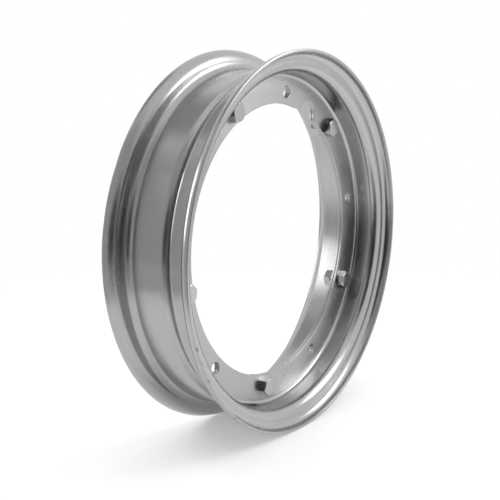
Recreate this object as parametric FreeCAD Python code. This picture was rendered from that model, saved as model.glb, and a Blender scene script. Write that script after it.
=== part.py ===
import FreeCAD, Part
import math
import os
from FreeCAD import Vector

os.makedirs("parts", exist_ok=True)

# A divided scooter rim: two pressed steel halves that meet web to web, held
# together by five bolts, spring washers and nuts. Lengths are in millimetres
# and angles in degrees.
#
# The origin is on the wheel's axis, in the plane where the two webs meet.
# +Y runs along the axis towards the wide half, and +Z is up. Angles are
# measured round the axis from +X towards +Z.

# The pressed sheet, the same in both halves
sheet = 2.2                     # thickness
bend_radius = 5.3               # outside of the bend between web and cylinder
edge_rounding = 0.4             # deburred edges of holes and lips

# The tyre's seat
bead_seat_radius = 126.6        # outside of the cylinder under the tyre's beads
flange_height = 14.4            # from there out to the lip's crest
between_flanges = 53.5          # from one flange's tyre side to the other's
narrow_depth = 20.2             # joint plane to the narrow half's flange
bead_fillet = 5.5               # tyre side of the corner under the flange
lip_radius = 8.4                # tyre side of the rolled lip
lip_straight = 0.9              # level stretch at the lip's end

# The webs
web_width = 24.6                # bead seat to the bore that the brake drum passes through
bolt_distance = 9.0             # bore to the bolts' middles
bolt_count = 5
first_bolt_angle = 46.7
stud_hole_diameter = 9.0        # for the drum's studs, halfway between bolts

# The valve's way out: a notch in both webs, and a hole in the wide cylinder
notch_radius = 11.0
notch_depth = 10.2              # beyond the bore
notch_corner = 5.0              # rounding between notch and bore
valve_hole_diameter = 11.5
valve_hole_offset = 13.5        # joint plane to the hole's middle

# The fasteners, size M8
thread_diameter = 8.0
thread_clearance = 0.05         # round the thread, in the nut
bolt_hole_clearance = 0.3       # round the thread, in the webs
across_flats = 13.0
head_height = 5.3
bolt_past_nut = 1.1             # the bolt's end beyond the nut
bolt_end_chamfer = 0.8
nut_height = 6.5
washer_hole_clearance = 0.2     # round the thread
washer_width = 3.0              # hole to outer edge
washer_thickness = 2.0
split_width = 1.1               # gap in the spring washer
split_slant = 35.0              # of the gap, from the wheel's axis
corner_chamfer = 30.0           # of heads and nuts, from their flat faces
chamfer_share = 0.95            # flat face's diameter, as a share of the flats
head_turns = (33.0, 41.0, 40.0, 45.0, 37.0)
nut_turns = (50.0, 8.0, 47.0, 35.0, 10.0)
split_turns = (127.0, 205.0, 20.0, 285.0, 183.0)

# Worked out from the above
bolt_pitch = 360.0 / bolt_count
wide_depth = between_flanges - narrow_depth
lip_width = lip_radius + lip_straight
flange_radius = bead_seat_radius + flange_height
bore_radius = bead_seat_radius - web_width
bolt_circle_radius = bore_radius + bolt_distance
bolt_hole_diameter = thread_diameter + 2 * bolt_hole_clearance
bolt_length = 2 * sheet + washer_thickness + nut_height + bolt_past_nut
washer_hole_diameter = thread_diameter + 2 * washer_hole_clearance
valve_angle = first_bolt_angle + bolt_pitch / 4

axis = Vector(0, 1, 0)
origin = Vector(0, 0, 0)


def around(radius, angle):
    """Point in the joint plane at a radius and an angle round the axis."""
    turn = math.radians(angle)
    return Vector(radius * math.cos(turn), 0, radius * math.sin(turn))


def unit(vector):
    """The same direction with a length of 1."""
    return vector * (1.0 / vector.Length)


def rounded_outline(corners):
    """Closed wire through (point, radius) corners, each rounded by an arc."""
    edges = []
    starts = []
    ends = []
    for i, (point, radius) in enumerate(corners):
        before = unit(corners[i - 1][0] - point)
        after = unit(corners[(i + 1) % len(corners)][0] - point)
        half_angle = before.getAngle(after) / 2
        reach = radius / math.tan(half_angle)
        middle = unit(before + after)
        to_arc = radius / math.sin(half_angle) - radius
        start = point + before * reach
        end = point + after * reach
        edges.append(Part.Arc(start, point + middle * to_arc, end).toShape())
        starts.append(start)
        ends.append(end)
    for i, end in enumerate(ends):
        start = starts[(i + 1) % len(starts)]
        if end.distanceToPoint(start) > 1e-6:
            edges.append(Part.makeLine(end, start))
    return Part.Wire(Part.__sortEdges__(edges))


def half_section(depth):
    """Section of one half: web, cylinder, flange and rolled lip."""
    seat = bead_seat_radius
    crest = flange_radius
    end = depth + lip_width
    fillet = min(bead_fillet, crest - seat - lip_radius)
    corners = (
        (Vector(bore_radius, 0, 0), edge_rounding),
        (Vector(seat, 0, 0), bend_radius),
        (Vector(seat, depth, 0), fillet),
        (Vector(crest, depth, 0), lip_radius),
        (Vector(crest, end, 0), edge_rounding),
        (Vector(crest - sheet, end, 0), edge_rounding),
        (Vector(crest - sheet, depth + sheet, 0), lip_radius - sheet),
        (Vector(seat - sheet, depth + sheet, 0), fillet + sheet),
        (Vector(seat - sheet, sheet, 0), bend_radius - sheet),
        (Vector(bore_radius, sheet, 0), edge_rounding),
    )
    return Part.Face(rounded_outline(corners))


def web_hole(diameter, angle):
    """Cutter for a round hole through one web, with both edges deburred."""
    radius = diameter / 2
    burr = edge_rounding
    wide = radius + burr
    profile = Part.makePolygon([
        Vector(0, -burr, 0),
        Vector(wide + burr, -burr, 0),
        Vector(radius, burr, 0),
        Vector(radius, sheet - burr, 0),
        Vector(wide + burr, sheet + burr, 0),
        Vector(0, sheet + burr, 0),
        Vector(0, -burr, 0),
    ])
    cutter = Part.Face(profile).revolve(origin, axis, 360)
    cutter.translate(around(bolt_circle_radius, angle))
    return cutter


def notch_cutter():
    """Cutter for the valve notch: an arc that runs into the bore by two rounded corners."""
    middle = bore_radius + notch_depth - notch_radius
    to_axis = bore_radius + notch_corner
    to_middle = notch_radius + notch_corner
    along = (to_axis ** 2 - to_middle ** 2 + middle ** 2) / (2 * middle)
    across = math.sqrt(to_axis ** 2 - along ** 2)
    centre = Vector(middle, 0, 0)
    arcs = []
    for side in (1, -1):
        corner = Vector(along, 0, side * across)
        on_bore = unit(corner) * bore_radius
        on_notch = centre + unit(corner - centre) * notch_radius
        towards = unit(unit(on_bore - corner) + unit(on_notch - corner))
        arcs.append((on_bore, corner + towards * notch_corner, on_notch))
    upper, lower = arcs
    top = centre + Vector(notch_radius, 0, 0)
    inside = Vector(bore_radius - notch_depth, 0, 0)
    edges = [
        Part.Arc(*upper).toShape(),
        Part.Arc(upper[2], top, lower[2]).toShape(),
        Part.Arc(lower[2], lower[1], lower[0]).toShape(),
        Part.makeLine(lower[0], inside),
        Part.makeLine(inside, upper[0]),
    ]
    face = Part.Face(Part.Wire(Part.__sortEdges__(edges)))
    cutter = face.extrude(Vector(0, sheet, 0))
    cutter.rotate(origin, axis, -valve_angle)
    return cutter


def rim_half(depth):
    """One pressed half, from the joint plane towards +Y."""
    half = half_section(depth).revolve(origin, axis, 360)
    cutters = [notch_cutter()]
    for i in range(bolt_count):
        angle = first_bolt_angle + i * bolt_pitch
        cutters.append(web_hole(bolt_hole_diameter, angle))
        cutters.append(web_hole(stud_hole_diameter, angle + bolt_pitch / 2))
    return half.cut(cutters)


def rim_half_narrow():
    """The narrow half, on the side of the bolt heads."""
    return rim_half(narrow_depth).mirror(origin, axis)


def rim_half_wide():
    """The wide half, with the hole where the valve leaves the tyre."""
    outwards = around(1, valve_angle)
    start = around(bore_radius, valve_angle) + axis * valve_hole_offset
    length = bead_seat_radius - bore_radius + sheet
    valve_hole = Part.makeCylinder(valve_hole_diameter / 2, length, start, outwards)
    return rim_half(wide_depth).cut(valve_hole)


def hexagon(height):
    """Hexagonal blank from the joint plane towards +Y, with a flat facing +Z."""
    corner = across_flats / 2 / math.cos(math.pi / 6)
    points = [around(corner, 60 * i) for i in range(7)]
    return Part.Face(Part.makePolygon(points)).extrude(axis * height)


def turned_blank(height, chamfered_start):
    """Round blank whose cone cuts a hexagon's corners at one or both ends."""
    corner = across_flats / 2 / math.cos(math.pi / 6)
    flat = chamfer_share * across_flats / 2
    drop = (corner - flat) * math.tan(math.radians(corner_chamfer))
    points = [Vector(0, 0, 0)]
    if chamfered_start:
        points += [Vector(flat, 0, 0), Vector(corner, drop, 0)]
    else:
        points += [Vector(corner, 0, 0)]
    points += [Vector(corner, height - drop, 0), Vector(flat, height, 0), Vector(0, height, 0)]
    return Part.Face(Part.makePolygon(points + points[:1])).revolve(origin, axis, 360)


def place(shape, turn, number, offset):
    """Turn a fastener about itself and set it at a bolt's place along the axis."""
    shape.rotate(origin, axis, turn)
    shape.translate(around(bolt_circle_radius, first_bolt_angle + number * bolt_pitch))
    shape.translate(axis * offset)
    return shape


def rim_bolt(number):
    """Hexagon-head bolt, its head seated on the narrow half's web."""
    head = hexagon(head_height).common(turned_blank(head_height, False))
    head = head.mirror(origin, axis)
    radius = thread_diameter / 2
    shank = Part.makeCylinder(radius, bolt_length, origin, axis)
    tip = [edge for edge in shank.Edges if abs(edge.CenterOfMass.y - bolt_length) < 1e-6]
    shank = shank.makeChamfer(bolt_end_chamfer, tip)
    bolt = head.fuse(shank).removeSplitter()
    return place(bolt, head_turns[number % len(head_turns)], number, -sheet)


def spring_washer(number):
    """Split ring under the nut, pressed flat."""
    outer = washer_hole_diameter / 2 + washer_width
    ring = Part.makeCylinder(outer, washer_thickness, origin, axis)
    ring = ring.cut(Part.makeCylinder(washer_hole_diameter / 2, washer_thickness, origin, axis))
    height = 3 * washer_thickness
    split = Part.makeBox(outer, height, split_width, Vector(0, -height / 2, -split_width / 2))
    split.rotate(origin, Vector(1, 0, 0), split_slant)
    split.translate(axis * (washer_thickness / 2))
    ring = ring.cut(split)
    return place(ring, split_turns[number % len(split_turns)], number, sheet)


def rim_nut(number):
    """Hexagon nut on the wide half's side, seated on the spring washer."""
    nut = hexagon(nut_height).common(turned_blank(nut_height, True))
    radius = thread_diameter / 2 + thread_clearance
    nut = nut.cut(Part.makeCylinder(radius, nut_height, origin, axis))
    return place(nut, nut_turns[number % len(nut_turns)], number, sheet + washer_thickness)


pieces = {
    "rim_half_narrow": rim_half_narrow(),
    "rim_half_wide": rim_half_wide(),
}
for i in range(bolt_count):
    pieces[f"rim_bolt_{i + 1}"] = rim_bolt(i)
    pieces[f"spring_washer_{i + 1}"] = spring_washer(i)
    pieces[f"rim_nut_{i + 1}"] = rim_nut(i)

for name, shape in pieces.items():
    shape.exportStep(f"parts/{name}.step")
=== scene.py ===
import math

import bmesh
import bpy
import numpy as np
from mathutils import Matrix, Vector
from mathutils.geometry import delaunay_2d_cdt


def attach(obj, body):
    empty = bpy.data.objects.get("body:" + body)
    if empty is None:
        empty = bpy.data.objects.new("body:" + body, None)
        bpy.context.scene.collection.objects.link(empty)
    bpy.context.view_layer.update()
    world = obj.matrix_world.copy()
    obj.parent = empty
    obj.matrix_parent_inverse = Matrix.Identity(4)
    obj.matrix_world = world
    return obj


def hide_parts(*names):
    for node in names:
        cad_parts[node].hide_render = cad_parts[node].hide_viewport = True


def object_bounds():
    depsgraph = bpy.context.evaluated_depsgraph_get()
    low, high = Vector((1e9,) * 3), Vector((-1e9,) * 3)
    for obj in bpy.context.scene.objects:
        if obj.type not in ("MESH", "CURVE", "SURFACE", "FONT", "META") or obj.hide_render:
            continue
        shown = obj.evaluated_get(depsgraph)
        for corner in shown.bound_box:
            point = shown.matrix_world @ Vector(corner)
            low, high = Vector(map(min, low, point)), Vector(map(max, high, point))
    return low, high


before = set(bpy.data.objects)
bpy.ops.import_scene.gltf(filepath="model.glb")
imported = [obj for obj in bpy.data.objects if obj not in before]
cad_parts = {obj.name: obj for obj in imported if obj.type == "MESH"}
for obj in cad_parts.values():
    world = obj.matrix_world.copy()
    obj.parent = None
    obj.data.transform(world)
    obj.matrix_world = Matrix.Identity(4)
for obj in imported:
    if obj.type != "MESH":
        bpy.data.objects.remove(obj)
cad_box = [list(corner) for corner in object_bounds()]

# A divided scooter rim of pressed, satin-polished steel, standing on its lips.
# Lengths are in millimetres, and angles in degrees, measured round the wheel's
# axis from +X towards +Z. MM turns lengths to metres in meshes and patterns.
MM = 0.001

# The two pressed halves, whose webs meet at y = 0
sheet = 2.2
bead_seat_radius = 126.6
crest_radius = 141.0            # outside of the lips
narrow_depth = 20.2             # joint plane to flange
wide_depth = 33.3
bend_radius = 5.3               # outside of the bend between web and cylinder
bead_fillet = 5.5               # tyre side of the corner under the flange
lip_radius = 8.4                # tyre side of the rolled lip
lip_straight = 0.9              # level stretch at the lip's end
edge_rounding = 0.4
bore_radius = 102.0

# Holes in the webs, and the valve's notch and hole
bolt_circle_radius = 111.0
bolt_pitch = 72.0
bolt_angles = [46.7 + bolt_pitch * i for i in range(5)]
bolt_hole_radius = 4.3
stud_hole_radius = 4.5
notch_radius = 11.0
notch_depth = 10.2              # beyond the bore
notch_corner = 5.0              # rounding between notch and bore
valve_angle = bolt_angles[0] + bolt_pitch / 4
valve_hole_radius = 5.75
valve_hole_offset = 13.5        # joint plane to the hole's middle
valve_hole_rounding = 0.3

# How finely the halves are drawn
columns_round = 800             # points round the wheel's axis
hole_points = 44                # points round each hole
web_edge = 118.0                # radius where the turned part meets the web's filled faces
edge_step = 0.2                 # strip of flat face beside a rounding, so that it shades flat
bend_step = 0.25                # the same beside a bend
patch_half_width = 7.5          # of the patch round the valve hole, along the wheel's axis
patch_half_length = 8.5         # the same, round the axis
weld_distance = 0.002

# Nicks in the near lip's edge: (angle, radius, height, depth, width)
lip_nicks = ((200.3, 141.0, 29.2, 1.2, 1.0), (204.9, 141.0, 29.3, 0.9, 0.9),
             (211.4, 141.0, 29.0, 1.3, 1.1), (230.4, 140.8, 29.4, 1.3, 1.1))

# Fasteners, size M8
thread_radius = 4.0
thread_pitch = 1.25
thread_gap = 0.05               # between the bolt's thread and the nut's
thread_depth = 0.6134           # of a metric thread, as a share of the pitch
half_crest = 1 / 16             # half the flat crest, as a share of the pitch
rings_in_pitch = 8
across_flats = 13.0
points_on_side = 18             # of a hexagon, crowded towards its corners
corner_crowding = 0.86
corner_sharpness = 45.0
corner_chamfer = 30.0           # of heads and nuts, from their flat faces
chamfer_share = 0.95            # flat face's diameter, as a share of the flats
chamfer_edge = 0.28             # softening between the chamfer and the sides
face_edge = (0.3, 0.06)         # softening's reach into the flat face, and onto the chamfer
head_height = 5.3
head_crown = 0.06               # how far the head's face stands out in its middle
crown_radius = 6.0
head_rings = (2.0, 4.0, 5.5)    # radii on the crowned face
head_seat_edge = 0.2            # softening under the head
flat_rings = (0.45, 0.5)        # up the side and in from it, so that both shade flat
neck = ((0.28, 0.0), (-0.4, 0.12))      # under the head: (out from the thread, height)
thread_start = 0.3
bolt_length = 14.0
bolt_tip_chamfer = 0.8
tip_rings = (3.0, 1.5)          # radii on the bolt's end
nut_height = 6.5
countersink_radius = 4.35
countersink_slope = 1.7         # how fast it narrows with depth
nut_face_ring = 5.4             # radius on the flat face
first_bore_ring = 0.08          # below the nut's upper face
washer_thickness = 2.0
washer_inner = 4.2
washer_outer = 7.2
washer_corner = 0.35
split_width = 1.1
split_slant = 35.0              # of the gap, from the wheel's axis
head_turns = (33.0, 41.0, 40.0, 45.0, 37.0)
nut_turns = (50.0, 8.0, 47.0, 35.0, 10.0)
split_turns = (127.0, 205.0, 20.0, 285.0, 183.0)
pole = 0.01                     # radius of the ring round a closed middle
sharp_edge_angle = 40.0         # edges that bend more than this are shaded sharp


# Meshes

def put_in_scene(name, points, faces, material):
    """Object at the origin with these points (in mm) and faces, smooth where they bend little."""
    mesh = bpy.data.meshes.new(name)
    mesh.from_pydata((points.reshape(-1, 3) * MM).tolist(), [], faces)
    mesh.materials.append(material)
    mesh.shade_smooth()
    mesh.set_sharp_from_angle(angle=math.radians(sharp_edge_angle))
    piece = bpy.data.objects.new(name, mesh)
    bpy.context.scene.collection.objects.link(piece)
    return piece


def full_turn(count):
    """Angles in radians at equal steps once round."""
    return np.linspace(0.0, 2 * np.pi, count, endpoint=False)


def circle(angles):
    """Points (cos a, sin a) of the unit circle."""
    return np.stack([np.cos(angles), np.sin(angles)], -1)


def grid_faces(rows, columns, rows_close):
    """Quads of a grid of rings: ring i joins ring i + 1, and each ring closes on itself."""
    i = np.arange(rows if rows_close else rows - 1)[:, None]
    j = np.arange(columns)[None, :]
    here, after = i * columns, (i + 1) % rows * columns
    beside = (j + 1) % columns
    quads = np.stack([here + j, after + j, after + beside, here + beside], -1)
    return quads.reshape(-1, 4)


def closed_piece(name, rings, material):
    """Skin over rings whose first and last are closed by a point in their middle."""
    rows, columns = rings.shape[:2]
    j = np.arange(columns)
    beside = (j + 1) % columns
    first, last = rows * columns, rows * columns + 1
    top = (rows - 1) * columns
    blocks = (grid_faces(rows, columns, False),
              np.stack([np.full(columns, first), j, beside], -1),
              np.stack([np.full(columns, last), top + beside, top + j], -1))
    points = np.concatenate([rings.reshape(-1, 3), rings[:1].mean(1), rings[-1:].mean(1)])
    faces = [face for block in blocks for face in block.tolist()]
    return put_in_scene(name, points, faces, material)


def turned_points(rings, angles, centre):
    """Rings given as (radius, height) pairs, where each may vary round the axis, as points
    centre + (radius * cos angle, height, radius * sin angle)."""
    radius = np.stack([np.broadcast_to(r, angles.shape) for r, _ in rings])
    height = np.stack([np.broadcast_to(h, angles.shape) for _, h in rings])
    around = np.stack([radius * np.cos(angles), height, radius * np.sin(angles)], -1)
    return around + centre


def softened(start, corner, end, steps=4):
    """Rings of a rounded edge: a quadratic curve from start to end, drawn towards the corner."""
    rings = []
    for t in np.linspace(0.0, 1.0, steps):
        weights = ((1 - t) ** 2, 2 * t * (1 - t), t ** 2)
        rings.append(tuple(sum(w * p[k] for w, p in zip(weights, (start, corner, end)))
                           for k in (0, 1)))
    return rings


# The fasteners

def side_angles(turn):
    """Angles once round a hexagon, crowded towards its corners: within each side the
    share t runs to t - crowding * sin(2 pi t) / (2 pi), so steps are smallest at t = 0."""
    t = np.arange(points_on_side) / points_on_side
    share = t - corner_crowding * np.sin(2 * np.pi * t) / (2 * np.pi)
    local = (np.arange(6)[:, None] + share[None, :]).reshape(-1) * 60.0
    return np.radians(local - turn)


def hexagon_radius(angles, turn):
    """Radius of a hexagon with slightly rounded corners: half the width across flats,
    divided by (sum of cos ^ sharpness) ^ (1 / sharpness) over the directions of its sides."""
    sides = np.radians(30.0 + 60.0 * np.arange(6))[:, None]
    local = angles[None, :] + math.radians(turn) - sides
    towards = np.clip(np.cos(local), 0.0, None) ** corner_sharpness
    return across_flats / 2 / towards.sum(0) ** (1 / corner_sharpness)


def helical_thread(angles, height):
    """Radius of a right-handed metric thread: height / pitch + angle / 360 gives the place
    between two crests, and the flanks fall at 60 degrees from a narrow crest to the root."""
    place = (height / thread_pitch + angles / (2 * np.pi)) % 1.0
    from_crest = np.abs(place - 0.5)
    depth = np.clip((from_crest - half_crest) * math.sqrt(3), 0.0, thread_depth) * thread_pitch
    return thread_radius - depth


def chamfered_end(outline, face, direction):
    """Rings from a hexagon's flat end face to its sides: the face's disc, then a cone at
    30 degrees that cuts the corners, then a softened edge. direction is +1 where the
    sides lie above the face and -1 where they lie below."""
    flat = chamfer_share * across_flats / 2
    slope = math.tan(math.radians(corner_chamfer)) * direction
    inwards, outwards = face_edge
    before = outline - chamfer_edge
    on_cone = (before, face + (before - flat) * slope)
    corner = face + (outline - flat) * slope
    rings = softened((flat - inwards, face), (flat, face),
                     (flat + outwards, face + outwards * slope))
    rings += [on_cone]
    rings += softened(on_cone, (outline, corner),
                      (outline, corner + chamfer_edge * direction), 5)[1:]
    rings += [(outline, corner + (chamfer_edge + edge_step) * direction)]
    return rings


def bolt_centre(number, height):
    """Middle of a bolt's place on the bolt circle, at a height along the axis."""
    angle = math.radians(bolt_angles[number])
    return np.array([bolt_circle_radius * math.cos(angle), height,
                     bolt_circle_radius * math.sin(angle)])


def rim_bolt(number, material):
    """Hexagon-head bolt: rings from the middle of the head's slightly crowned face over the
    chamfer, down the sides, in under the head and along the threaded shank to its
    chamfered end."""
    turn = head_turns[number]
    angles = side_angles(turn)
    outline = hexagon_radius(angles, turn)
    face = -head_height
    up, inwards = flat_rings
    rings = [(radius, face - head_crown * (1 - (radius / crown_radius) ** 2))
             for radius in (pole, *head_rings)]
    rings += chamfered_end(outline, face, 1)
    rings += [(outline, -up)]
    rings += softened((outline, -head_seat_edge), (outline, 0.0), (outline - head_seat_edge, 0.0))
    rings += [(outline - inwards, 0.0)]
    rings += [(thread_radius + out, height) for out, height in neck]
    for height in np.arange(thread_start, bolt_length, thread_pitch / rings_in_pitch):
        on_tip = max(0.0, height - (bolt_length - bolt_tip_chamfer))
        rings += [(np.minimum(helical_thread(angles, height), thread_radius - on_tip), height)]
    rings += [(radius, bolt_length) for radius in (*tip_rings, pole)]
    points = turned_points(rings, angles, bolt_centre(number, -sheet))
    return closed_piece(f"threaded_bolt_{number + 1}", points, material)


def rim_nut(number, material):
    """Hexagon nut: a closed loop of rings out over the lower face, up the sides, in over the
    upper face, through the countersink and back down the threaded bore."""
    turn = nut_turns[number]
    angles = side_angles(turn)
    outline = hexagon_radius(angles, turn)
    face_radii = (countersink_radius, countersink_radius + edge_step, nut_face_ring)
    lower = [(radius, 0.0) for radius in face_radii]
    lower += chamfered_end(outline, 0.0, 1)
    upper = chamfered_end(outline, nut_height, -1)[::-1]
    upper += [(radius, nut_height) for radius in face_radii[::-1]]
    bore = []
    start = sheet + washer_thickness
    for height in np.arange(nut_height - first_bore_ring, 0.0, -thread_pitch / rings_in_pitch):
        cut = helical_thread(angles, height + start + sheet) + thread_gap
        from_end = min(height, nut_height - height)
        bore += [(np.maximum(cut, countersink_radius - countersink_slope * from_end), height)]
    points = turned_points(lower + upper + bore, angles, bolt_centre(number, start))
    faces = grid_faces(points.shape[0], points.shape[1], True).tolist()
    return put_in_scene(f"threaded_nut_{number + 1}", points, faces, material)


def spring_washer(number, material):
    """Split ring: a rectangle with rounded corners, carried round from one face of the slanted
    gap to the other. At radius r and height h the gap's faces lie at the angles whose sine is
    (h * tan(slant) -+ half the gap) / r, so the gap keeps its width and leans by the slant."""
    corner_points, steps_round = 5, 73
    quarter = np.arange(4)[:, None]
    place = quarter * np.pi / 2 + np.radians(np.linspace(0.0, 90.0, corner_points))[None, :]
    width, height = (washer_outer - washer_inner) / 2, washer_thickness / 2
    side_x = np.array([1, -1, -1, 1])[:, None]
    side_y = np.array([1, 1, -1, -1])[:, None]
    middle = (washer_outer + washer_inner) / 2
    radius = middle + side_x * (width - washer_corner) + washer_corner * np.cos(place)
    level = side_y * (height - washer_corner) + washer_corner * np.sin(place)
    radius, level = radius.reshape(-1, 1), level.reshape(-1, 1)
    lean = math.tan(math.radians(split_slant))
    half = split_width / 2 / math.cos(math.radians(split_slant))
    start = np.arcsin((level * lean + half) / radius)
    end = 2 * np.pi + np.arcsin((level * lean - half) / radius)
    share = np.linspace(0.0, 1.0, steps_round)[None, :]
    angles = start + (end - start) * share - math.radians(split_turns[number])
    ring = np.stack([radius * np.cos(angles), level + 0 * angles, radius * np.sin(angles)], -1)
    points = ring.transpose(1, 0, 2) + bolt_centre(number, sheet + height)
    return closed_piece(f"split_washer_{number + 1}", points[::-1], material)


# The pressed halves

def arc(middle, radius, start, end, steps):
    """Points (radius, height) of a section's arc, middle + radius * (cos a, sin a)."""
    return np.array(middle) + radius * circle(np.radians(np.linspace(start, end, steps)))


def half_section(depth, seat_rings):
    """Section of one half as (radius, height) points, height counted from the joint plane: out
    along the web's joint face, round the bend, along the bead seat, up the flange and round
    the lip, then back the same way inside. Straight parts get a point close to each end, so
    that the roundings shade as roundings."""
    seat, crest, end = bead_seat_radius, crest_radius, depth + lip_radius + lip_straight
    bend = (seat - bend_radius, bend_radius)
    fillet = (seat + bead_fillet, depth - bead_fillet)
    lip = (crest - lip_radius, depth + lip_radius)
    soft = edge_rounding
    inner = seat - sheet
    on_seat = [bend_radius + bend_step, *seat_rings, fillet[1] - bend_step]
    return np.concatenate([
        [(web_edge, 0.0), (bend[0] - bend_step, 0.0)],
        arc(bend, bend_radius, -90, 0, 11),
        [(seat, h) for h in on_seat],
        arc(fillet, bead_fillet, 180, 90, 10),
        arc(lip, lip_radius, -90, 0, 13),
        arc((crest - soft, end - soft), soft, 0, 90, 5),
        arc((crest - sheet + soft, end - soft), soft, 90, 180, 5),
        arc(lip, lip_radius - sheet, 0, -90, 11),
        arc(fillet, bead_fillet + sheet, 90, 180, 10),
        [(inner, h) for h in on_seat[::-1]],
        arc(bend, bend_radius - sheet, 0, -90, 9),
        [(bend[0] - bend_step, sheet), (web_edge, sheet)],
    ])


def turned_from(angles, angle):
    """Angles counted from one in degrees, between -pi and pi."""
    return (angles - math.radians(angle) + np.pi) % (2 * np.pi) - np.pi


def nick_depth(section, angles, nicks):
    """How far each point of the section is pushed in by nicks in the lip: each is a bell
    curve in the distance from its middle, both round the axis and across the lip."""
    depth = np.zeros((len(section), len(angles)))
    for angle, radius, height, deep, wide in nicks:
        across = np.hypot(section[:, 0] - radius, section[:, 1] - height)
        share = ((turned_from(angles, angle)[None, :] * radius / wide) ** 2
                 + (across[:, None] / wide) ** 2)
        depth += deep * np.exp(-share)
    return depth


def turned_part(section, angles, nicks):
    """The section carried round the axis, each point pushed in by the nicks along the normal."""
    slope = np.gradient(section, axis=0)
    slope /= np.linalg.norm(slope, axis=1)[:, None]
    pushed = nick_depth(section, angles, nicks)
    radius = section[:, :1] - pushed * slope[:, 1:]
    height = section[:, 1:] + pushed * slope[:, :1]
    rings = np.concatenate([radius[..., None] * circle(angles), height[..., None]], -1)
    return rings, grid_faces(len(section), len(angles), False)


def bore_with_notch(angles):
    """Radius of the web's inner edge: the bore, and the valve notch's arc, which runs into the
    bore by two rounded corners. On a circle round (m, 0), the point at the angle a from the
    axis lies m * cos a +- root(radius^2 - (m * sin a)^2) from the axis."""
    away = np.abs(turned_from(angles, valve_angle))
    middle = bore_radius + notch_depth - notch_radius
    to_corner, to_middle = bore_radius + notch_corner, notch_radius + notch_corner
    along = (to_corner ** 2 - to_middle ** 2 + middle ** 2) / (2 * middle)
    across = math.sqrt(to_corner ** 2 - along ** 2)
    touch_along = middle + (along - middle) * notch_radius / to_middle
    touch_across = across * notch_radius / to_middle
    in_notch = away < math.atan2(touch_across, touch_along)
    in_corner = ~in_notch & (away < math.atan2(across, along))
    from_corner = away - math.atan2(across, along)
    notch = middle * np.cos(away) + np.sqrt(
        np.maximum(notch_radius ** 2 - (middle * np.sin(away)) ** 2, 0.0))
    corner = to_corner * np.cos(from_corner) - np.sqrt(
        np.maximum(notch_corner ** 2 - (to_corner * np.sin(from_corner)) ** 2, 0.0))
    return np.where(in_notch, notch, np.where(in_corner, corner, bore_radius))


def grown(loop, distance):
    """Closed plane loop moved sideways by a distance, square to the line between neighbours."""
    along = np.roll(loop, -1, 0) - np.roll(loop, 1, 0)
    along /= np.linalg.norm(along, axis=1)[:, None]
    return loop + distance * np.stack([along[:, 1], -along[:, 0]], -1)


def through_sheet(soft):
    """How a hole's wall runs through the sheet, as (distance out from the wall, height) pairs:
    a step of flat face, a rounding of radius `soft`, the wall, and the same again."""
    first = arc((soft, soft), soft, -90, -180, 5)
    pairs = [(soft + edge_step, 0.0)] + first.tolist()
    return pairs + [(out, sheet - height) for out, height in pairs[::-1]]


def inside(points, loop):
    """Whether each point lies in a closed plane loop: a line from it towards +x crosses the
    loop's edges an odd number of times."""
    x, y = points[:, :1], points[:, 1:]
    (x0, y0), (x1, y1) = loop.T, np.roll(loop, -1, 0).T
    spans = (y0 > y) != (y1 > y)
    crossing = x0 + (y - y0) * (x1 - x0) / np.where(y1 == y0, 1.0, y1 - y0)
    return (spans & (x < crossing)).sum(1) % 2 == 1


def filled(loops):
    """Triangles of the plane sheet inside the first loop and outside the others: a Delaunay
    net that holds every loop's edges. Their corners count through the loops."""
    points = np.concatenate(loops)
    edges, start = [], 0
    for loop in loops:
        ring = np.arange(len(loop))
        edges += np.stack([ring + start, np.roll(ring, -1) + start], -1).tolist()
        start += len(loop)
    found = delaunay_2d_cdt([Vector(point) for point in points.tolist()], edges, [], 0, 1e-6)
    source = np.array([origins[0] for origins in found[3]])
    triangles = source[np.array([list(face) for face in found[2]])]
    middles = points[triangles].mean(1)
    keep = inside(middles, loops[0])
    for hole in loops[1:]:
        keep &= ~inside(middles, hole)
    return triangles[keep]


def at_level(flat, level):
    """Plane points with a level as their third coordinate."""
    return np.insert(flat, 2, level, 1)


def web_blocks(angles):
    """The web inside web_edge: rings through the sheet along the bore with its notch and along
    the ten holes, then the two flat faces between them."""
    around, hole = circle(angles), circle(full_turn(hole_points))
    outlines = [bore_with_notch(angles)[:, None] * around]
    for angle in bolt_angles:
        between = angle + bolt_pitch / 2
        for radius, place in ((bolt_hole_radius, angle), (stud_hole_radius, between)):
            turn = math.radians(place)
            middle = bolt_circle_radius * np.array([math.cos(turn), math.sin(turn)])
            outlines.append(middle + radius * hole)
    wall = through_sheet(edge_rounding)
    blocks, loops = [], [web_edge * around]
    for outline in outlines:
        rings = np.stack([at_level(grown(outline, away), level) for away, level in wall])
        blocks.append((rings, grid_faces(len(wall), len(outline), False)))
        loops.append(rings[0, :, :2])
    triangles = filled(loops)
    flat = np.concatenate(loops)
    return blocks + [(at_level(flat, level), triangles) for level in (0.0, sheet)]


def on_cylinder(cylinder, turn, height):
    """Points of a cylinder round the axis, in radians and mm, as (x, z, height)."""
    return np.stack([cylinder * np.cos(turn), cylinder * np.sin(turn), height], -1)


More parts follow.
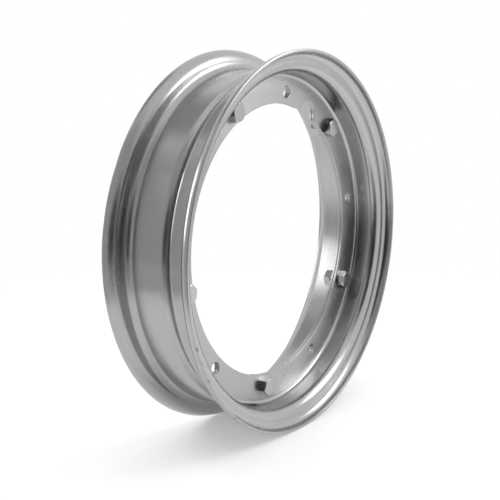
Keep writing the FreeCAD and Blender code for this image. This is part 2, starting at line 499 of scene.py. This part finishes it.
def valve_hole(turned, section, angles, patch_rows):
    """The turned part with a round hole through the bead seat. A patch of each side of the
    sheet, between two rings of the section, is taken out and filled again round the hole, on
    the cylinder unrolled as (arc length, height). A point of the hole's wall, t across the
    hole's axis, lies at the angle asin(t / radius) from it. What is left of the turned part
    and what fills the patches are given apart."""
    skin, quads = turned
    middle = math.radians(valve_angle)
    reach = patch_half_length / bead_seat_radius
    first = int((middle - reach) / angles[1])
    last = int((middle + reach) / angles[1]) + 1
    ring, column = quads[:, 0] // len(angles), quads[:, 0] % len(angles)
    ends = np.sort(np.stack([section[:-1, 1], section[1:, 1]], -1), 1)
    in_patch = np.isclose(ends, patch_rows).all(1)
    cut = in_patch[ring] & (column >= first) & (column < last)
    blocks = [(skin, quads[~cut])]

    turn = full_turn(hole_points)
    loops = []
    for away, level in through_sheet(valve_hole_rounding):
        cylinder, radius = bead_seat_radius - level, valve_hole_radius + away
        loops.append(on_cylinder(cylinder, middle + np.arcsin(radius * np.cos(turn) / cylinder),
                                 valve_hole_offset + radius * np.sin(turn)))
    wall = (np.stack(loops), grid_faces(len(loops), hole_points, False))

    patches = []
    along = angles[first:last + 1] - middle
    for cylinder, loop in ((bead_seat_radius, loops[0]), (bead_seat_radius - sheet, loops[-1])):
        border = np.concatenate([
            np.stack([along * cylinder, np.full(len(along), patch_rows[0])], -1),
            np.stack([along[::-1] * cylinder, np.full(len(along), patch_rows[1])], -1)])
        hole_turn = np.arctan2(loop[:, 1], loop[:, 0]) - middle
        hole_border = np.stack([hole_turn * cylinder, loop[:, 2]], -1)
        flat = np.concatenate([border, hole_border])
        patches.append((on_cylinder(cylinder, flat[:, 0] / cylinder + middle, flat[:, 1]),
                        filled([border, hole_border])))
    return blocks, [wall] + patches


def rim_half(name, depth, side, material, nicks=(), valve=False):
    """One pressed half. Its section is turned about the axis, its web is filled in, and what
    meets is welded. side is +1 for the half towards +Y and -1 for the other."""
    angles = full_turn(columns_round)
    patch_rows = [valve_hole_offset - patch_half_width, valve_hole_offset + patch_half_width]
    section = half_section(depth, patch_rows if valve else [])
    turned, patches = [turned_part(section, angles, nicks)], []
    if valve:
        turned, patches = valve_hole(turned[0], section, angles, patch_rows)
    blocks = turned + web_blocks(angles) + patches

    points = np.concatenate([block.reshape(-1, 3) for block, _ in blocks])
    faces, start = [], 0
    for block, corners in blocks:
        faces += (corners + start).tolist()
        start += block.reshape(-1, 3).shape[0]
    placed = np.stack([points[:, 0], side * points[:, 2], points[:, 1]], -1)
    half = put_in_scene(name, placed, faces, material)
    joined = bmesh.new()
    joined.from_mesh(half.data)
    bmesh.ops.remove_doubles(joined, verts=joined.verts, dist=weld_distance * MM)
    bmesh.ops.recalc_face_normals(joined, faces=joined.faces)
    joined.to_mesh(half.data)
    joined.free()
    half.data.shade_smooth()
    return half


# Materials

def linear(code):
    """Linear colour of an sRGB hex code."""
    shares = [int(code[i:i + 2], 16) / 255 for i in (1, 3, 5)]
    return (*[s / 12.92 if s <= 0.04045 else ((s + 0.055) / 1.055) ** 2.4 for s in shares], 1.0)


def add(tree, kind, settings=None, inputs=None):
    """Shader node with its settings, and each input's value or the output it is linked to."""
    node = tree.nodes.new("ShaderNode" + kind)
    for name, value in (settings or {}).items():
        setattr(node, name, value)
    for name, value in (inputs or {}).items():
        if isinstance(value, bpy.types.NodeSocket):
            tree.links.new(value, node.inputs[name])
        else:
            node.inputs[name].default_value = value
    return node


def new_material(name):
    """Material with an empty node tree."""
    material = bpy.data.materials.new(name)
    material.use_nodes = True
    material.node_tree.nodes.clear()
    return material, material.node_tree


def from_axis(tree, place):
    """A place's vector from the wheel's axis, and its distance from the axis."""
    flat = add(tree, "VectorMath", {"operation": "MULTIPLY"}, {0: place, 1: (1, 0, 1)}).outputs[0]
    return flat, add(tree, "VectorMath", {"operation": "LENGTH"}, {0: flat}).outputs["Value"]


def turned_noise(tree, place, across, along):
    """Noise drawn out round the wheel's axis, like marks of turning: it varies over `across`
    mm in radius and height, and over about `along` mm at the bead seat, round the axis.
    Its four coordinates are the direction from the axis, the radius and the height."""
    flat, radius = from_axis(tree, place)
    outward = add(tree, "VectorMath", {"operation": "NORMALIZE"}, {0: flat}).outputs[0]
    radius_step = add(tree, "Math", {"operation": "MULTIPLY"}, {0: radius, 1: 1 / (across * MM)})
    raised = add(tree, "CombineXYZ", inputs={"Y": radius_step.outputs[0]}).outputs[0]
    stretched = add(tree, "VectorMath", {"operation": "MULTIPLY_ADD"},
                    {0: outward, 1: (bead_seat_radius / along,) * 3, 2: raised}).outputs[0]
    height = add(tree, "SeparateXYZ", inputs={0: place}).outputs["Y"]
    level = add(tree, "Math", {"operation": "MULTIPLY"}, {0: height, 1: 1 / (across * MM)})
    noise = add(tree, "TexNoise", {"noise_dimensions": "4D"},
                {"Vector": stretched, "W": level.outputs[0], "Scale": 1.0, "Detail": 2.0})
    return noise.outputs["Fac"]


def satin_polished_steel():
    """Cold-rolled mild steel sheet, pressed, then polished with an abrasive belt while it
    turned. The eye gets a neutral grey metal with soft highlights that are drawn out across
    the marks of polishing, faint rings round the axis and cloudy smears. The belt reaches the
    flat webs less, so they are a little duller."""
    smear_size = 38.0
    web_end, cylinder_start = 117.0, 123.0
    material, tree = new_material("satin_polished_steel")
    place = add(tree, "TexCoord").outputs["Object"]
    smears = add(tree, "TexNoise", inputs={
        "Vector": place, "Scale": 1 / (smear_size * MM), "Detail": 3.0,
        "Roughness": 0.55}).outputs["Fac"]
    rings = turned_noise(tree, place, across=7.0, along=160.0)
    # A belt's marks are about 0.1 mm wide, too fine to show, and are drawn coarser
    scratches = turned_noise(tree, place, across=0.9, along=60.0)
    colour = add(tree, "Mix", {"data_type": "RGBA"},
                 {0: smears, 6: linear("#A3A4A5"), 7: linear("#B4B4B3")}).outputs[2]
    cloudy = add(tree, "MapRange", inputs={"Value": smears, "To Min": 0.15, "To Max": 0.31})
    ringed = add(tree, "MapRange", inputs={"Value": rings, "To Min": -0.05, "To Max": 0.07})
    polish = add(tree, "Math", {"operation": "ADD"}, {0: cloudy.outputs[0], 1: ringed.outputs[0]})
    on_web = add(tree, "MapRange", {"interpolation_type": "SMOOTHSTEP"}, {
        "Value": from_axis(tree, place)[1], "From Min": web_end * MM,
        "From Max": cylinder_start * MM, "To Min": 0.06, "To Max": 0.0})
    roughness = add(tree, "Math", {"operation": "ADD"},
                    {0: polish.outputs[0], 1: on_web.outputs[0]})
    waves = add(tree, "Bump", inputs={"Height": rings, "Distance": 0.10 * MM, "Strength": 1.0})
    grain = add(tree, "Bump", inputs={"Height": scratches, "Distance": 0.020 * MM, "Strength": 1.0,
                                      "Normal": waves.outputs[0]})
    # The marks of polishing run round the wheel's axis
    along_marks = add(tree, "VectorMath", {"operation": "CROSS_PRODUCT"}, {0: place, 1: (0, 1, 0)})
    shader = add(tree, "BsdfPrincipled", inputs={
        "Base Color": colour, "Metallic": 1.0, "Roughness": roughness.outputs[0],
        "Anisotropic": 0.45, "Anisotropic Rotation": 0.25,
        "Tangent": along_marks.outputs[0], "Normal": grain.outputs[0]})
    add(tree, "OutputMaterial", inputs={"Surface": shader.outputs[0]})
    return material


def bright_zinc_plating():
    """Cold-headed steel with bright electroplated zinc. The eye gets a slightly bluish white
    metal, a little cloudy, with softly rounded bright edges. Its pits are drawn coarser than
    real ones, which are too fine to show."""
    cloud_size, pit_size = 4.0, 0.8
    material, tree = new_material("bright_zinc_plating")
    place = add(tree, "TexCoord").outputs["Object"]
    cloud = add(tree, "TexNoise", inputs={
        "Vector": place, "Scale": 1 / (cloud_size * MM), "Detail": 3.0,
        "Roughness": 0.6}).outputs["Fac"]
    pits = add(tree, "TexNoise", inputs={
        "Vector": place, "Scale": 1 / (pit_size * MM), "Detail": 2.0}).outputs["Fac"]
    colour = add(tree, "Mix", {"data_type": "RGBA"},
                 {0: cloud, 6: linear("#A4A6A8"), 7: linear("#B4B5B6")}).outputs[2]
    roughness = add(tree, "MapRange", inputs={"Value": cloud, "To Min": 0.12, "To Max": 0.26})
    grain = add(tree, "Bump", inputs={"Height": pits, "Distance": 0.02 * MM, "Strength": 1.0})
    shader = add(tree, "BsdfPrincipled", inputs={
        "Base Color": colour, "Metallic": 1.0, "Roughness": roughness.outputs[0],
        "Normal": grain.outputs[0]})
    add(tree, "OutputMaterial", inputs={"Surface": shader.outputs[0]})
    return material


def plated_spring_steel():
    """Coiled spring-steel wire, zinc-plated and left dull. The eye gets a darker, more even
    grey than on the nut, with a fine unevenness."""
    cloud_size = 2.5
    material, tree = new_material("plated_spring_steel")
    place = add(tree, "TexCoord").outputs["Object"]
    cloud = add(tree, "TexNoise", inputs={
        "Vector": place, "Scale": 1 / (cloud_size * MM), "Detail": 3.0,
        "Roughness": 0.6}).outputs["Fac"]
    colour = add(tree, "Mix", {"data_type": "RGBA"},
                 {0: cloud, 6: linear("#9A9C9F"), 7: linear("#AEAFB1")}).outputs[2]
    roughness = add(tree, "MapRange", inputs={"Value": cloud, "To Min": 0.32, "To Max": 0.48})
    grain = add(tree, "Bump", inputs={"Height": cloud, "Distance": 0.03 * MM, "Strength": 1.0})
    shader = add(tree, "BsdfPrincipled", inputs={
        "Base Color": colour, "Metallic": 1.0, "Roughness": roughness.outputs[0],
        "Normal": grain.outputs[0]})
    add(tree, "OutputMaterial", inputs={"Surface": shader.outputs[0]})
    return material


def looked_at(tree):
    """1 for rays from the camera, from glossy surfaces and through clear ones, else 0, so that
    metal shows the same white floor and room as the camera."""
    path = add(tree, "LightPath").outputs
    seen = add(tree, "Math", {"operation": "MAXIMUM"},
               {0: path["Is Camera Ray"], 1: path["Is Glossy Ray"]}).outputs[0]
    return add(tree, "Math", {"operation": "MAXIMUM"},
               {0: seen, 1: path["Is Transmission Ray"]}).outputs[0]


def white_floor_paint():
    """Matt white paint on the studio's floor. It takes the rim's shadow, and its own small
    glow, for rays that look at it, lifts the lit part to the backdrop's white."""
    mottle_size, glow_level = 60.0, 0.26
    material, tree = new_material("white_floor_paint")
    place = add(tree, "TexCoord").outputs["Object"]
    mottle = add(tree, "TexNoise", inputs={
        "Vector": place, "Scale": 1 / (mottle_size * MM)}).outputs["Fac"]
    colour = add(tree, "Mix", {"data_type": "RGBA"},
                 {0: mottle, 6: linear("#F0F0F0"), 7: linear("#F5F5F5")}).outputs[2]
    matt = add(tree, "BsdfDiffuse", inputs={"Color": colour})
    lift = add(tree, "Math", {"operation": "MULTIPLY"}, {0: looked_at(tree), 1: glow_level})
    glow = add(tree, "Emission", inputs={"Color": linear("#FFFFFF"), "Strength": lift.outputs[0]})
    both = add(tree, "AddShader", inputs={0: matt.outputs[0], 1: glow.outputs[0]})
    add(tree, "OutputMaterial", inputs={"Surface": both.outputs[0]})
    return material


def flag_felt(name, colour, side, up, width, height, dense):
    """Matt wool felt of a photographer's flag. Seen from the rim's middle it is an oval that
    reaches `width` and `height` degrees to its sides. It is full up to the share `dense` of
    that and then thins out to nothing, so that its edge doesn't show in the metal."""
    material, tree = new_material(name)
    place = add(tree, "TexCoord").outputs["Object"]
    outward = add(tree, "VectorMath", {"operation": "NORMALIZE"}, {0: place}).outputs[0]
    shares = [add(tree, "VectorMath", {"operation": "DOT_PRODUCT"}, {
        0: outward, 1: towards / math.sin(math.radians(reach))}).outputs["Value"]
        for towards, reach in ((side, width), (up, height))]
    on_oval = add(tree, "CombineXYZ", inputs={"X": shares[0], "Y": shares[1]})
    from_middle = add(tree, "VectorMath", {"operation": "LENGTH"}, {0: on_oval.outputs[0]})
    clearness = add(tree, "MapRange", {"interpolation_type": "SMOOTHSTEP"},
                    {"Value": from_middle.outputs["Value"], "From Min": dense, "From Max": 1.0})
    clear = add(tree, "BsdfTransparent")
    felt = add(tree, "BsdfDiffuse", inputs={"Color": linear(colour)})
    both = add(tree, "MixShader", inputs={0: clearness.outputs[0], 1: felt.outputs[0],
                                          2: clear.outputs[0]})
    add(tree, "OutputMaterial", inputs={"Surface": both.outputs[0]})
    return material


# The rim: worked-out surfaces stand for all its solids, in the same places and sizes, with
# softened edges, threads and nicks

steel = satin_polished_steel()
zinc = bright_zinc_plating()
spring = plated_spring_steel()

narrow_half = rim_half("pressed_narrow_half", narrow_depth, -1, steel, nicks=lip_nicks)
wide_half = rim_half("pressed_wide_half", wide_depth, 1, steel, valve=True)
for piece, node in ((narrow_half, "rim_half_narrow"), (wide_half, "rim_half_wide")):
    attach(piece, "root")
    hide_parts(node)

makers = ((rim_bolt, "rim_bolt", zinc, "fastener_zinc"),
          (spring_washer, "spring_washer", spring, "washer_steel"),
          (rim_nut, "rim_nut", zinc, "fastener_zinc"))
for make, node, material, slot in makers:
    for number in range(len(bolt_angles)):
        piece = make(number, material)
        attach(piece, "root")
        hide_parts(f"{node}_{number + 1}")


# The studio: lights and flags are placed by their direction and distance from the rim's
# middle, with distances and lights' sides in metres

floor_level = cad_box[0][2] / MM
room_light = 0.8                # what the room gives to surfaces that aren't polished


def direction(azimuth, elevation):
    """Unit vector at an azimuth from +X towards +Y, and an elevation above the axis's level:
    (cos e * cos a, cos e * sin a, sin e)."""
    a, e = math.radians(azimuth), math.radians(elevation)
    return Vector((math.cos(e) * math.cos(a), math.cos(e) * math.sin(a), math.sin(e)))


def softbox(name, azimuth, elevation, distance, width, height, level):
    """Soft lamp that faces the rim's middle. level is its brightness, and 1 is that of a
    white card in plain light."""
    lamp = bpy.data.lights.new(name, "AREA")
    lamp.shape = "RECTANGLE"
    lamp.size, lamp.size_y = width, height
    lamp.energy = level * math.pi * width * height
    holder = bpy.data.objects.new(name, lamp)
    bpy.context.scene.collection.objects.link(holder)
    holder.location = direction(azimuth, elevation) * distance
    holder.rotation_mode = "QUATERNION"
    holder.rotation_quaternion = (-holder.location).to_track_quat("-Z", "Y")
    holder.visible_camera = False


softbox("softbox_right_front", azimuth=-49.5, elevation=29, distance=0.72,
        width=0.33, height=0.38, level=4.0)
softbox("small_panel_behind", azimuth=124, elevation=18, distance=0.30,
        width=0.13, height=0.15, level=3.2)


def flag(name, colour, azimuth, elevation, distance, width, height, dense):
    """Felt flag that hangs round the rim's middle and lies down on the floor, to give the
    polished metal something dark to mirror. Its points are those of a half sphere, in rings
    at equal angles from its own middle, and each that would be under the floor is raised to
    just above it. It shows in the metal only, and leaves the floor and the camera's view as
    they are."""
    rings, columns = 20, 72
    innermost, outermost = 0.2, 88.0        # degrees from the flag's middle
    lift = 2.0
    middle = direction(azimuth, elevation)
    side = middle.cross(Vector((0, 0, 1))).normalized()
    up = side.cross(middle)
    away = np.radians(np.linspace(innermost, outermost, rings))[:, None, None]
    round_it = full_turn(columns)[None, :, None]
    across = np.cos(round_it) * np.array(side) + np.sin(round_it) * np.array(up)
    points = (np.cos(away) * np.array(middle) + np.sin(away) * across) * distance / MM
    points[..., 2] = np.maximum(points[..., 2], floor_level + lift)
    faces = grid_faces(rings, columns, False).tolist() + [list(range(columns))]
    felt = flag_felt(f"{name}_felt", colour, side, up, width, height, dense)
    piece = put_in_scene(name, points, faces, felt)
    piece.visible_camera = piece.visible_diffuse = piece.visible_shadow = False


flag("light_grey_flag", "#D2D2D2", azimuth=-178, elevation=14, distance=1.1,
     width=87, height=70, dense=0.75)
flag("ash_grey_flag", "#BEBEBE", azimuth=96, elevation=60, distance=0.7,
     width=22, height=20, dense=0.5)
flag("dark_grey_flag", "#5C5C5C", azimuth=-148, elevation=2, distance=0.85,
     width=34, height=34, dense=0.45)
flag("charcoal_flag", "#2C2C2C", azimuth=-108, elevation=2, distance=0.40,
     width=27, height=62, dense=0.55)


def studio_world():
    """White room. What looks at it sees white, and it lights the rest at a plain level."""
    world = bpy.data.worlds.new("studio_room")
    world.use_nodes = True
    tree = world.node_tree
    tree.nodes.clear()
    level = add(tree, "MapRange", inputs={
        "Value": looked_at(tree), "To Min": room_light, "To Max": 1.0})
    room = add(tree, "Background", inputs={
        "Color": linear("#FFFFFF"), "Strength": level.outputs[0]})
    add(tree, "OutputWorld", inputs={"Surface": room.outputs[0]})
    return world


def studio_floor():
    """Round floor under the lips: rings of points at the floor's level, closed in the middle."""
    outer_radius, inner_radius = 600.0, 1.0
    rings, columns = 6, 96
    angles = full_turn(columns)
    spans = np.linspace(outer_radius, inner_radius, rings)
    points = np.stack([spans[:, None] * np.sin(angles), spans[:, None] * np.cos(angles),
                       np.full((rings, columns), floor_level)], -1)
    middle = list(range((rings - 1) * columns, rings * columns))
    faces = grid_faces(rings, columns, False).tolist() + [middle]
    put_in_scene("studio_floor", points, faces, white_floor_paint())


bpy.context.scene.world = studio_world()
studio_floor()

# The camera: a 71 mm lens about 0.74 m away, to the left of the bolt heads' side
lens = 70.82
film_width = 36.0
camera_place = (-0.60859, -0.40288, 0.12633)
camera_towards = (0.807, 0.5623, -0.1804)
camera_data = bpy.data.cameras.new("photo_camera")
camera_data.lens = lens
camera_data.sensor_width = film_width
camera = bpy.data.objects.new("photo_camera", camera_data)
bpy.context.scene.collection.objects.link(camera)
camera.location = camera_place
camera.rotation_mode = "QUATERNION"
camera.rotation_quaternion = Vector(camera_towards).to_track_quat("-Z", "Y")
bpy.context.scene.camera = camera

bpy.context.scene.view_settings.view_transform = "Standard"
